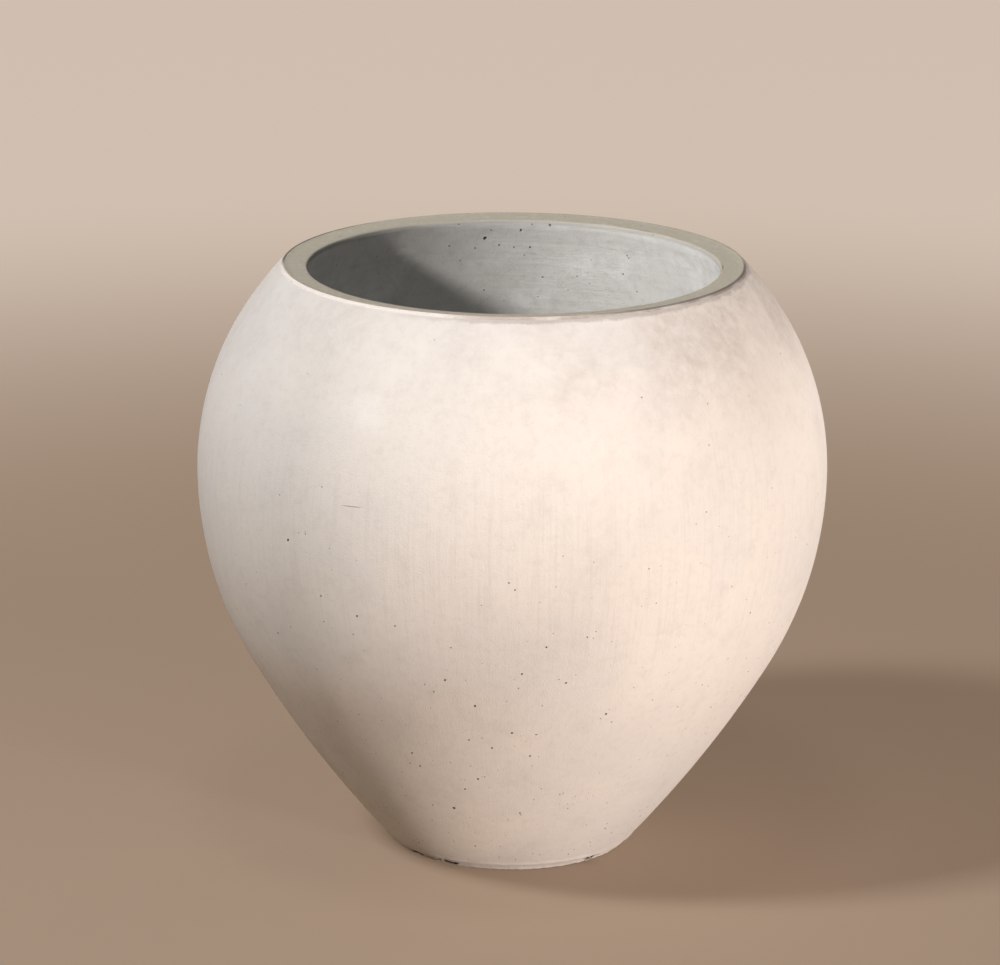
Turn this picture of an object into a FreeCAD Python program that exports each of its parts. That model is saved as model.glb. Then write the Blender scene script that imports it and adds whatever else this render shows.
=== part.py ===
import FreeCAD
import Part

import math
import os
from collections import namedtuple

# Concrete flower pot with an egg-shaped outline, laid up by hand in a mould.
# A pale face coat lies outside, and behind it a backing coat holds a tied cage of galvanised wire.
# An inner coat covers the backing. Behind the shoulder it is built up to a straight throat, and at the top
# it turns over the ends of the other coats and is struck off as a flat rim.
# A floor slab, cast round a short drain sleeve, is wedged in the narrow end.
# Frame: millimetres, +Z up, the origin at the middle of the foot, on the ground.

# Outline of the outside: from the foot a long flank rises to the hip, the hip to the belly's widest place,
# and the shoulder from there to the rim. Each is set back from the stretch next to it, towards the axis.
belly_radius = 201.0
flank_rise = 125.5
flank_setback = 91.5
hip_rise = 121.5
hip_setback = 33.0
shoulder_rise = 133.0
shoulder_setback = 55.0

# Coats of the wall, square to the surface, from the outside in
face_coat_thickness = 2.5
backing_coat_thickness = 8.7
inner_coat_thickness = 3.0

# Rim and foot edges
rim_lip_depth = 1.8
rim_outer_round = 0.8
rim_inner_round = 3.0
foot_round = 1.5

# Throat: how far it leans out for each length down, and its round behind the belly
throat_lean_share = 0.4
throat_round = 90.0

# Floor and drain
floor_thickness = 20.0
sleeve_outer_radius = 12.5
sleeve_wall = 1.8

# Wire cage: hoops outside, upright wires inside, tied where they cross
wire_diameter = 2.0
crossing_gap = 0.05
upright_count = 8
foot_cover = 14.0
rim_cover = 12.0
hoop_names = ["foot_hoop", "flank_hoop", "belly_hoop", "shoulder_hoop", "rim_hoop"]
hoop_level_shares = [0.04, 0.28, 0.53, 0.76, 0.97]

# Levels and radii that follow from the sizes above
hip_radius = belly_radius - hip_setback
foot_radius = hip_radius - flank_setback
rim_radius = belly_radius - shoulder_setback
belly_height = flank_rise + hip_rise
height = belly_height + shoulder_rise
lip_height = height - rim_lip_depth
cage_bottom = foot_cover
cage_top = height - rim_cover

# Depths of the joints between the coats, below the outer surface
face_joint = face_coat_thickness
inner_joint = face_joint + backing_coat_thickness
inner_surface = inner_joint + inner_coat_thickness

# The cage lies in the middle of the backing coat, half of the wires' spacing on each side
wire_radius = wire_diameter / 2
wire_spacing = wire_diameter + crossing_gap
cage_depth = face_joint + backing_coat_thickness / 2
hoop_depth = cage_depth - wire_spacing / 2
upright_depth = cage_depth + wire_spacing / 2

# One arc of the outline. Its angles are those of the outward normal above the horizon, at its two ends,
# and its size is its radius, negative where the arc is hollow.
Arc = namedtuple("Arc", "centre_radius centre_height size low_angle high_angle")


def arc_size(rise, setback):
    """Radius of an arc that starts upright and comes in by setback over a height of rise."""
    return (rise ** 2 + setback ** 2) / (2 * setback)


def outline():
    """The outside in side view, as tangent arcs from the foot to the rim: flank, hip and shoulder."""
    shoulder_size = arc_size(shoulder_rise, shoulder_setback)
    shoulder = Arc(belly_radius - shoulder_size, belly_height, shoulder_size,
                   0, math.asin(shoulder_rise / shoulder_size))
    hip_size = arc_size(hip_rise, hip_setback)
    hip_angle = -math.asin(hip_rise / hip_size)
    hip = Arc(belly_radius - hip_size, belly_height, hip_size, hip_angle, 0)
    # The flank leaves the hip along its tangent and ends at the foot
    fall = flank_setback * math.cos(hip_angle) + flank_rise * math.sin(hip_angle)
    flank_size = (flank_setback ** 2 + flank_rise ** 2) / (2 * fall)
    centre_radius = hip_radius - flank_size * math.cos(hip_angle)
    centre_height = flank_rise - flank_size * math.sin(hip_angle)
    foot_angle = math.asin(-centre_height / flank_size)
    flank = Arc(centre_radius, centre_height, flank_size, foot_angle, hip_angle)
    return [flank, hip, shoulder]


OUTLINE = outline()


def at(radius, level):
    """A point of the side view, in the plane of +X and +Z."""
    return FreeCAD.Vector(radius, 0, level)


def point_at(arc, depth, angle):
    """Point of an arc set in by depth, where the outward normal has an angle."""
    reach = arc.size - depth
    return at(arc.centre_radius + reach * math.cos(angle), arc.centre_height + reach * math.sin(angle))


def angle_at(arc, depth, level):
    """Angle of the outward normal where an arc set in by depth passes a level."""
    return math.asin((level - arc.centre_height) / (arc.size - depth))


def stretches(depth, low, high):
    """The arcs of the outline set in by depth, between two levels, as (arc, lower angle, upper angle)."""
    found = []
    for arc in OUTLINE:
        bottom = low if arc is OUTLINE[0] else max(low, point_at(arc, depth, arc.low_angle).z)
        top = high if arc is OUTLINE[-1] else min(high, point_at(arc, depth, arc.high_angle).z)
        if bottom < top:
            found.append((arc, angle_at(arc, depth, bottom), angle_at(arc, depth, top)))
    return found


def outline_edges(depth, low, high):
    """Edges of the outline set in by depth, from one level up to another."""
    edges = []
    for arc, start, end in stretches(depth, low, high):
        points = [point_at(arc, depth, angle) for angle in (start, (start + end) / 2, end)]
        edges.append(Part.Arc(*points).toShape())
    return edges


def place_at(depth, level):
    """Point of the outline set in by depth at a level, and the angle of its outward normal."""
    for arc in OUTLINE:
        if arc is OUTLINE[-1] or level <= point_at(arc, depth, arc.high_angle).z:
            angle = angle_at(arc, depth, level)
            return point_at(arc, depth, angle), angle


def radius_at(depth, level):
    """Radius of the outline set in by depth, at a level."""
    return place_at(depth, level)[0].x


def level_line(level, first_radius, second_radius):
    """Straight edge at a level, between two radii."""
    return Part.makeLine(at(first_radius, level), at(second_radius, level))


def round_edge(centre, size, first_way, last_way):
    """Round about a centre, from one way out of it to another. Returns its edge and its two ends."""
    middle_way = (first_way + last_way).normalize()
    first, middle, last = (centre + way * size for way in (first_way, middle_way, last_way))
    return Part.Arc(first, middle, last).toShape(), first, last


def rounded_corner(level, size, end):
    """Round between the outer face and the wall's flat end at a level.

    The flat end looks up for an end of 1 and down for -1.
    Returns the round's edge, the level where it leaves the face and the radius where it meets the end.
    """
    centre, angle = place_at(size, level - end * size)
    to_face = FreeCAD.Vector(math.cos(angle), 0, math.sin(angle))
    edge, face_point, end_point = round_edge(centre, size, to_face, FreeCAD.Vector(0, 0, end))
    return edge, face_point.z, end_point.x


def throat():
    """Inside of the inner coat from behind the belly to the rim: a round, the throat and the soft edge.

    Returns its edges, the level where it leaves the wall's inside and the radius where it meets the rim.
    """
    lean = math.atan(throat_lean_share)
    to_axis = FreeCAD.Vector(-math.cos(lean), 0, -math.sin(lean))
    down = FreeCAD.Vector(math.sin(lean), 0, -math.cos(lean))
    edge_centre, _ = place_at(inner_surface - rim_inner_round, height - rim_inner_round)
    soft_edge, top, rim_end = round_edge(edge_centre, rim_inner_round, to_axis, FreeCAD.Vector(0, 0, 1))
    for arc in OUTLINE[1:]:
        # The round touches the arc of the wall's inside from within, and the throat from the axis's side
        arc_centre = at(arc.centre_radius, arc.centre_height)
        reach = arc.size - inner_surface - throat_round
        start = top + to_axis * throat_round - arc_centre
        half_sum = start.dot(down)
        length = math.sqrt(half_sum ** 2 - start.dot(start) + reach ** 2) - half_sum
        to_wall = start + down * length
        angle = math.atan2(to_wall.z, to_wall.x)
        if arc.low_angle <= angle <= arc.high_angle:
            centre = arc_centre + to_wall
            belly_edge, wall_point, foot = round_edge(centre, throat_round, to_wall.normalize(), to_axis * -1)
            return [belly_edge, Part.makeLine(foot, top), soft_edge], wall_point.z, rim_end.x


def spun(edges):
    """Solid made by turning a closed side view once round the pot's axis."""
    face = Part.Face(Part.Wire(Part.__sortEdges__(edges)))
    return face.revolve(FreeCAD.Vector(0, 0, 0), FreeCAD.Vector(0, 0, 1), 360)


def make_face_coat():
    """Pale outer skin, from the foot to the underside of the rim's lip, with the foot's edge worn round."""
    foot_edge, face_level, foot_end = rounded_corner(0, foot_round, -1)
    outside = outline_edges(0, face_level, lip_height)
    top = level_line(lip_height, radius_at(0, lip_height), radius_at(face_joint, lip_height))
    inside = outline_edges(face_joint, 0, lip_height)
    underside = level_line(0, radius_at(face_joint, 0), foot_end)
    return spun([foot_edge] + outside + [top] + inside + [underside])


def make_hoops():
    """Wire hoops round the cage, by name."""
    hoops = {}
    for name, share in zip(hoop_names, hoop_level_shares):
        level = cage_bottom + share * (cage_top - cage_bottom)
        hoops[name] = Part.makeTorus(radius_at(hoop_depth, level), wire_radius, FreeCAD.Vector(0, 0, level))
    return hoops


def make_uprights():
    """Upright wires of the cage by name, bent to the wall and spaced evenly round the pot."""
    path = Part.Wire(outline_edges(upright_depth, cage_bottom, cage_top))
    arc, start, _ = stretches(upright_depth, cage_bottom, cage_top)[0]
    along = FreeCAD.Vector(-math.sin(start), 0, math.cos(start))
    section = Part.Wire(Part.makeCircle(wire_radius, point_at(arc, upright_depth, start), along))
    wire = path.makePipeShell([section], True, False)
    uprights = {}
    for index in range(upright_count):
        # The first wire stands half a step from +X
        turn = 360 * (index + 1 / 2) / upright_count
        upright = wire.copy()
        upright.rotate(FreeCAD.Vector(0, 0, 0), FreeCAD.Vector(0, 0, 1), turn)
        uprights[f"upright_wire_{index + 1}"] = upright
    return uprights


def make_backing_coat(cage):
    """Middle coat, cast round the wires of the cage."""
    outside = outline_edges(face_joint, 0, lip_height)
    inside = outline_edges(inner_joint, 0, lip_height)
    ends = [level_line(level, radius_at(face_joint, level), radius_at(inner_joint, level))
            for level in (0, lip_height)]
    body = spun(outside + inside + ends)
    for wire in cage.values():
        body = body.cut(wire)
    return body


def make_inner_coat():
    """Inner coat with its throat, turned out over the other coats as a flat rim with softened edges."""
    outer_edge, lip_level, rim_outside = rounded_corner(height, rim_outer_round, 1)
    throat_edges, wall_level, rim_inside = throat()
    wall_outside = outline_edges(inner_joint, 0, lip_height)
    lip_underside = level_line(lip_height, radius_at(inner_joint, lip_height), radius_at(0, lip_height))
    lip_outside = outline_edges(0, lip_height, lip_level)
    rim_top = level_line(height, rim_outside, rim_inside)
    wall_inside = outline_edges(inner_surface, 0, wall_level)
    foot_end = level_line(0, radius_at(inner_surface, 0), radius_at(inner_joint, 0))
    lip = [lip_underside] + lip_outside + [outer_edge, rim_top]
    return spun(wall_outside + lip + throat_edges + wall_inside + [foot_end])


def make_floor_slab():
    """Floor, wedged in the narrow end inside the wall and cast round the drain sleeve."""
    seat = outline_edges(inner_surface, 0, floor_thickness)
    ends = [level_line(level, radius_at(inner_surface, level), sleeve_outer_radius)
            for level in (0, floor_thickness)]
    hole = Part.makeLine(at(sleeve_outer_radius, 0), at(sleeve_outer_radius, floor_thickness))
    return spun(seat + ends + [hole])


def make_drain_sleeve():
    """Offcut of plastic pipe left in the floor as the drain hole."""
    pipe = Part.makeCylinder(sleeve_outer_radius, floor_thickness)
    return pipe.cut(Part.makeCylinder(sleeve_outer_radius - sleeve_wall, floor_thickness))


def main():
    """Makes every piece and writes it to its own file."""
    cage = {**make_hoops(), **make_uprights()}
    pieces = {
        "face_coat": make_face_coat(),
        "backing_coat": make_backing_coat(cage),
        "inner_coat": make_inner_coat(),
        "floor_slab": make_floor_slab(),
        "drain_sleeve": make_drain_sleeve(),
        **cage,
    }
    os.makedirs("parts", exist_ok=True)
    for name, shape in pieces.items():
        shape.exportStep(os.path.join("parts", name + ".step"))
        print(name, "solids", len(shape.Solids), "valid", shape.isValid(), "volume", round(shape.Volume, 1))


main()
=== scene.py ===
"""Looks of a hand-laid concrete flower pot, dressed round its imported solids.

Lengths are metres and angles degrees. +Z is up and the origin is the middle of the foot, as in the frame.
"""
import logging
import math
import random
from collections.abc import Callable, Iterator, Mapping, Sequence
from dataclasses import dataclass, field
from enum import Enum
from typing import Any

import bpy
from mathutils import Matrix, Vector


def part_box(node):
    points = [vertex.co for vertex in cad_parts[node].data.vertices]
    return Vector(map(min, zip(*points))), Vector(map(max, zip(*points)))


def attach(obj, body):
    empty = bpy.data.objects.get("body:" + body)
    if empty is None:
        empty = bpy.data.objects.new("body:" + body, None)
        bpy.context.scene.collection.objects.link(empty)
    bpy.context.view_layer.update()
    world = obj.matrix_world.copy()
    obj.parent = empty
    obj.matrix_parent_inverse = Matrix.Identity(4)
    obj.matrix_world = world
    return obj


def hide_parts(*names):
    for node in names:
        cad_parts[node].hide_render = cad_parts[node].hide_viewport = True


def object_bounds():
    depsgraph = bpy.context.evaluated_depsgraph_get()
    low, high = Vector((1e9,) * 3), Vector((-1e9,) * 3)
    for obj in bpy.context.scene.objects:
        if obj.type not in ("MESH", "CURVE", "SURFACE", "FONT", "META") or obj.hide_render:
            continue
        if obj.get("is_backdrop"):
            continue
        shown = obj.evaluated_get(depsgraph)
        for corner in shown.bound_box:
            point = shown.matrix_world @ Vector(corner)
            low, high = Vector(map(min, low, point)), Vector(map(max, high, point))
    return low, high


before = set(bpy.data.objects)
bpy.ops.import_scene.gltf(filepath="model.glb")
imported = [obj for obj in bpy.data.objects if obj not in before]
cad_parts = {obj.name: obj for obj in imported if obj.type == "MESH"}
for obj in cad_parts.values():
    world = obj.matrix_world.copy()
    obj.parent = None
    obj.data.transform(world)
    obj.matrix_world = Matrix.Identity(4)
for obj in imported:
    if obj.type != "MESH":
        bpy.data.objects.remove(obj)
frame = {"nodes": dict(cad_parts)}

CAD_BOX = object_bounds()
BODY = "root"
LOG = logging.getLogger("flower_pot")
MERGE_DISTANCE = 1e-6
HIDDEN_STEP = 0.008
CONCRETE_CREASE = 32.0
BLACK = (0.0, 0.0, 0.0, 1.0)

Colour = tuple[float, float, float, float]
Section = list[tuple[float, float]]
Span = tuple[float, float]


def tone(red: int, green: int, blue: int) -> Colour:
    """Turns a colour as it shows on a screen into the linear colour that materials and lamps take.

    Args:
        red: Red, from 0 to 255.
        green: Green, from 0 to 255.
        blue: Blue, from 0 to 255.

    Returns:
        The linear colour, opaque.
    """
    def linear(part: int) -> float:
        """Undoes the screen's curve for one channel."""
        share = part / 255
        return share / 12.92 if share <= 0.04045 else ((share + 0.055) / 1.055) ** 2.4

    return linear(red), linear(green), linear(blue), 1.0


@dataclass(frozen=True)
class Outline:
    """Side view of the outside, as tangent arcs: the flank, the hip and the shoulder.

    Each stretch rises from the one below it, and is set back from the belly's side of it, towards the axis.
    """

    belly_radius: float = 0.201
    flank_rise: float = 0.1255
    flank_setback: float = 0.0915
    hip_rise: float = 0.1215
    hip_setback: float = 0.033
    shoulder_rise: float = 0.133
    shoulder_setback: float = 0.055

    @property
    def height(self) -> float:
        """Level of the rim."""
        return self.flank_rise + self.hip_rise + self.shoulder_rise

    @property
    def belly_level(self) -> float:
        """Level of the widest place."""
        return self.flank_rise + self.hip_rise

    def arc(self, depth: float, level: float) -> tuple[float, float, float]:
        """Finds the arc that passes a level.

        Args:
            depth: How far the line is set in from the outside.
            level: Height above the ground.

        Returns:
            The radius and level of the arc's centre, and its size once set in.
        """
        if level >= self.belly_level:
            size = (self.shoulder_rise ** 2 + self.shoulder_setback ** 2) / (2 * self.shoulder_setback)
            return self.belly_radius - size, self.belly_level, size - depth
        hip = (self.hip_rise ** 2 + self.hip_setback ** 2) / (2 * self.hip_setback)
        down = self.hip_rise / hip
        out = math.sqrt(1 - down ** 2)
        if level >= self.belly_level - (hip - depth) * down:
            return self.belly_radius - hip, self.belly_level, hip - depth
        fall = self.flank_setback * out - self.flank_rise * down
        flank = (self.flank_setback ** 2 + self.flank_rise ** 2) / (2 * fall)
        hip_radius = self.belly_radius - self.hip_setback
        return hip_radius - flank * out, self.flank_rise + flank * down, flank - depth

    def radius(self, depth: float, level: float) -> float:
        """Radius of the line set in by a depth, at a level."""
        centre_radius, centre_level, size = self.arc(depth, level)
        return centre_radius + math.sqrt(size ** 2 - (level - centre_level) ** 2)

    def line(self, depth: float, levels: Sequence[float]) -> Section:
        """Points of the line set in by a depth, at a row of levels."""
        return [(self.radius(depth, level), level) for level in levels]

    def corner(self, level: float, size: float, end: int, count: int) -> Section:
        """Rounds the corner between the outside and a flat end.

        Args:
            level: Level of the flat end.
            size: Radius of the round.
            end: 1 for an end that looks up, -1 for one that looks down.
            count: How many points the round has.

        Returns:
            The round's points, from the outside to the end.
        """
        centre_level = level - end * size
        centre_radius, arc_level, reach = self.arc(size, centre_level)
        rise = (centre_level - arc_level) / reach
        middle = Vector((centre_radius + reach * math.sqrt(1 - rise ** 2), centre_level))
        to_face = Vector((math.sqrt(1 - rise ** 2), rise))
        to_end = Vector((0, end))
        turn = to_face.angle_signed(to_end)
        points = []
        for index in range(count):
            way = to_face.copy()
            way.rotate(Matrix.Rotation(-turn * index / (count - 1), 2))
            points.append(tuple(middle + way * size))
        return points


@dataclass(frozen=True)
class Wall:
    """Lay-up of the wall: its coats from the outside in, and the edges of its rim and foot."""

    outline: Outline = Outline()
    face: float = 0.0025
    backing: float = 0.0087
    inner: float = 0.003
    lip: float = 0.0018
    lip_round: float = 0.0008
    lip_margin: float = 0.003
    mouth_round: float = 0.003
    mouth_turn_step: float = 0.3
    foot_round: float = 0.0007
    throat_lean: float = 0.4
    throat_round: float = 0.09

    @property
    def inner_joint(self) -> float:
        """Depth of the joint behind the inner coat."""
        return self.face + self.backing

    @property
    def inside(self) -> float:
        """Depth of the inside surface."""
        return self.inner_joint + self.inner

    @property
    def lip_level(self) -> float:
        """Level of the underside of the rim's lip."""
        return self.outline.height - self.lip

    @property
    def calm_radius(self) -> float:
        """Radius where the rim's outer edge starts to be left even."""
        return self.outline.belly_radius - self.outline.shoulder_setback - self.lip_margin

    def throat(self, step: float) -> Section:
        """Inside of the pot: the soft edge of the mouth, the straight throat, its round and the even wall.

        Args:
            step: About how far apart the points are.

        Returns:
            The points, from the rim down to the foot.
        """
        outline, soft, size = self.outline, self.mouth_round, self.throat_round
        lean = math.atan(self.throat_lean)
        to_axis, down = Vector((-math.cos(lean), -math.sin(lean))), Vector((math.sin(lean), -math.cos(lean)))
        edge_level = outline.height - soft
        edge = Vector((outline.radius(self.inside - soft, edge_level), edge_level))
        top = edge + to_axis * soft
        hip_radius, hip_level, reach = outline.arc(self.inside, outline.flank_rise + outline.hip_rise / 2)
        hip = Vector((hip_radius, hip_level))
        start = top + to_axis * size - hip
        half = start.dot(down)
        length = math.sqrt(half ** 2 - start.length_squared + (reach - size) ** 2) - half
        to_wall = start + down * length
        turn = math.atan2(to_wall.y, to_wall.x)
        turns = levels(math.pi / 2, math.pi + lean, self.mouth_turn_step)
        points = [edge + polar(soft, angle) for angle in turns]
        points += [top + down * reach_down for reach_down in levels(0.0, length, step)[1:]]
        points += [hip + to_wall + polar(size, angle) for angle in levels(lean, turn, step / size)[1:]]
        even_wall = outline.line(self.inside, levels(points[-1].y, 0.0, step)[1:])
        return [tuple(point) for point in points] + even_wall


def levels(low: float, high: float, step: float) -> list[float]:
    """Splits a rise into even steps.

    Args:
        low: The first level.
        high: The last level.
        step: About how long a step is.

    Returns:
        The levels, both ends included.
    """
    count = max(1, round(abs(high - low) / step))
    return [low + (high - low) * index / count for index in range(count + 1)]


def polar(reach: float, angle: float) -> Vector:
    """Way of a length at an angle, in the side view."""
    return Vector((math.cos(angle), math.sin(angle))) * reach


@dataclass(frozen=True)
class Lumps:
    """Unevenness of a surface: its greatest depth, the size of its lumps, and if they have creases.

    A negative depth raises the surface.
    """

    depth: float
    grain: float
    hard: bool = False


class Bench:
    """Modelling moves that the pieces share."""

    @staticmethod
    def clear() -> None:
        """Leaves nothing selected."""
        bpy.ops.object.select_all(action="DESELECT")

    @staticmethod
    def pick(obj: bpy.types.Object) -> None:
        """Makes an object the only one that operators act on."""
        Bench.clear()
        obj.select_set(True)
        bpy.context.view_layer.objects.active = obj

    @staticmethod
    def spun(name: str, section: Section, steps: int) -> bpy.types.Object:
        """Draws a closed section point by point and spins it once round the axis.

        Args:
            name: Name of the new object.
            section: Points of the section, as radius and level, without a repeat of the first.
            steps: How many steps the spin has.

        Returns:
            The closed shell.
        """
        Bench.clear()
        first_radius, first_level = section[0]
        bpy.ops.mesh.primitive_plane_add(size=first_radius)
        obj = bpy.context.object
        obj.name = obj.data.name = name
        bpy.ops.object.mode_set(mode="EDIT")
        bpy.ops.mesh.select_all(action="SELECT")
        bpy.ops.mesh.merge(type="CENTER")
        bpy.ops.transform.translate(value=(first_radius, 0, first_level))
        for (radius, level), (next_radius, next_level) in zip(section, section[1:] + section[:1]):
            move = (next_radius - radius, 0, next_level - level)
            bpy.ops.mesh.extrude_region_move(TRANSFORM_OT_translate={"value": move})
        bpy.ops.mesh.select_all(action="SELECT")
        bpy.ops.mesh.remove_doubles(threshold=MERGE_DISTANCE)
        bpy.ops.object.mode_set(mode="OBJECT")
        Bench.modify(obj, "SCREW", axis="Z", angle=math.tau, steps=steps, render_steps=steps,
                     use_merge_vertices=True, merge_threshold=MERGE_DISTANCE)
        bpy.ops.object.mode_set(mode="EDIT")
        bpy.ops.mesh.select_all(action="SELECT")
        bpy.ops.mesh.normals_make_consistent(inside=False)
        bpy.ops.object.mode_set(mode="OBJECT")
        return obj

    @staticmethod
    def modify(obj: bpy.types.Object, kind: str, **settings: Any) -> None:
        """Adds a modifier with these settings and applies it."""
        Bench.pick(obj)
        modifier = obj.modifiers.new(kind.lower(), kind)
        for key, value in settings.items():
            setattr(modifier, key, value)
        bpy.ops.object.modifier_apply(modifier=modifier.name)

    @staticmethod
    def weigh(obj: bpy.types.Object, name: str, rule: Callable[[Vector], float]) -> str:
        """Makes a vertex group whose weights follow a rule.

        Args:
            obj: The object.
            name: Name of the group.
            rule: Gives the weight at a place.

        Returns:
            The group's name.
        """
        group = obj.vertex_groups.new(name=name)
        for vertex in obj.data.vertices:
            weight = rule(vertex.co)
            if weight > 0:
                group.add([vertex.index], min(weight, 1.0), "REPLACE")
        return group.name

    @staticmethod
    def roughen(obj: bpy.types.Object, lumps: Lumps, group: str) -> None:
        """Sinks or raises a surface unevenly.

        Args:
            obj: The object.
            lumps: How uneven the surface gets.
            group: Vertex group that it works on.
        """
        texture = bpy.data.textures.new(f"{obj.name}_lumps", "CLOUDS")
        texture.noise_scale = lumps.grain
        texture.noise_depth = 3
        texture.noise_type = "HARD_NOISE" if lumps.hard else "SOFT_NOISE"
        mid = 1.0 if lumps.depth > 0 else 0.0
        Bench.modify(obj, "DISPLACE", texture=texture, texture_coords="LOCAL", strength=abs(lumps.depth),
                     mid_level=mid, vertex_group=group)
        bpy.data.textures.remove(texture)

    @staticmethod
    def smooth(obj: bpy.types.Object, angle: float) -> None:
        """Shades an object smooth, but for edges sharper than an angle."""
        Bench.pick(obj)
        bpy.ops.object.shade_smooth_by_angle(angle=math.radians(angle))


def ramp(value: float, low: float, high: float) -> float:
    """Eases from 0 at low to 1 at high."""
    share = min(max((value - low) / (high - low), 0.0), 1.0)
    return share * share * (3 - 2 * share)


@dataclass(frozen=True)
class MarkForm:
    """Form of a mark in units of its width: width, breadth and height, unevenness, and depth of its middle.

    The slot is that of its broken faces' material.
    """

    slot: int
    shape: tuple[float, float, float]
    lumps: float
    sink: float


class MarkKind(Enum):
    """Kinds of small damage that are cut out of a coat."""

    HOLE = MarkForm(1, (1.0, 1.0, 1.1), 0.1, 0.12)
    CHIP = MarkForm(2, (1.0, 0.55, 0.5), 0.22, 0.0)
    SCRATCH = MarkForm(3, (1.0, 0.075, 0.05), 0.02, 0.0)


@dataclass(frozen=True)
class HoleScatter:
    """How scattered air holes vary.

    A crowding over 1 brings more of them to the low end, and a skew over 1 makes more of them small.
    """

    count: int
    low: float
    high: float
    crowding: float
    least: float
    spread: float
    skew: float
    sink: float = -0.2


@dataclass(frozen=True)
class PhotoMark:
    """A mark that the photo shows, at its pixel, with its width in metres and its turn in degrees."""

    x: float
    y: float
    width: float
    turn: float = 0.0
    kind: MarkKind = MarkKind.HOLE


@dataclass(frozen=True)
class PhotoCamera:
    """Camera of the photo, found from the pot's outline."""

    place: tuple[float, float, float] = (0.0, -3.0805, 1.0941)
    pitch: float = 15.575
    yaw: float = -0.1451
    roll: float = 0.3942
    lens_mm: float = 180.0
    sensor_mm: float = 36.0
    image_width: float = 1000.0
    image_height: float = 965.0

    def axes(self) -> tuple[Vector, Vector, Vector]:
        """Directions to the right of the picture, up it and into it."""
        pitch, yaw, roll = (math.radians(angle) for angle in (self.pitch, self.yaw, self.roll))
        ahead = Vector((math.sin(yaw) * math.cos(pitch), math.cos(yaw) * math.cos(pitch), -math.sin(pitch)))
        right = ahead.cross(Vector((0, 0, 1))).normalized()
        up = right.cross(ahead)
        turned_right = right * math.cos(roll) + up * math.sin(roll)
        turned_up = up * math.cos(roll) - right * math.sin(roll)
        return turned_right, turned_up, ahead

    def ray(self, x: float, y: float) -> Vector:
        """Direction from the camera through a pixel."""
        right, up, ahead = self.axes()
        reach = self.lens_mm / self.sensor_mm * self.image_width
        across, down = x - self.image_width / 2, y - self.image_height / 2
        return (ahead * reach + right * across - up * down).normalized()

    def build(self) -> None:
        """Makes the camera and takes the scene's picture with it."""
        data = bpy.data.cameras.new("photo_camera")
        data.lens = self.lens_mm
        data.sensor_width = self.sensor_mm
        data.sensor_fit = "HORIZONTAL"
        camera = bpy.data.objects.new("photo_camera", data)
        right, up, ahead = self.axes()
        turn = Matrix((right, up, -ahead)).transposed().to_4x4()
        camera.matrix_world = Matrix.Translation(self.place) @ turn
        bpy.context.scene.collection.objects.link(camera)
        bpy.context.scene.camera = camera


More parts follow.
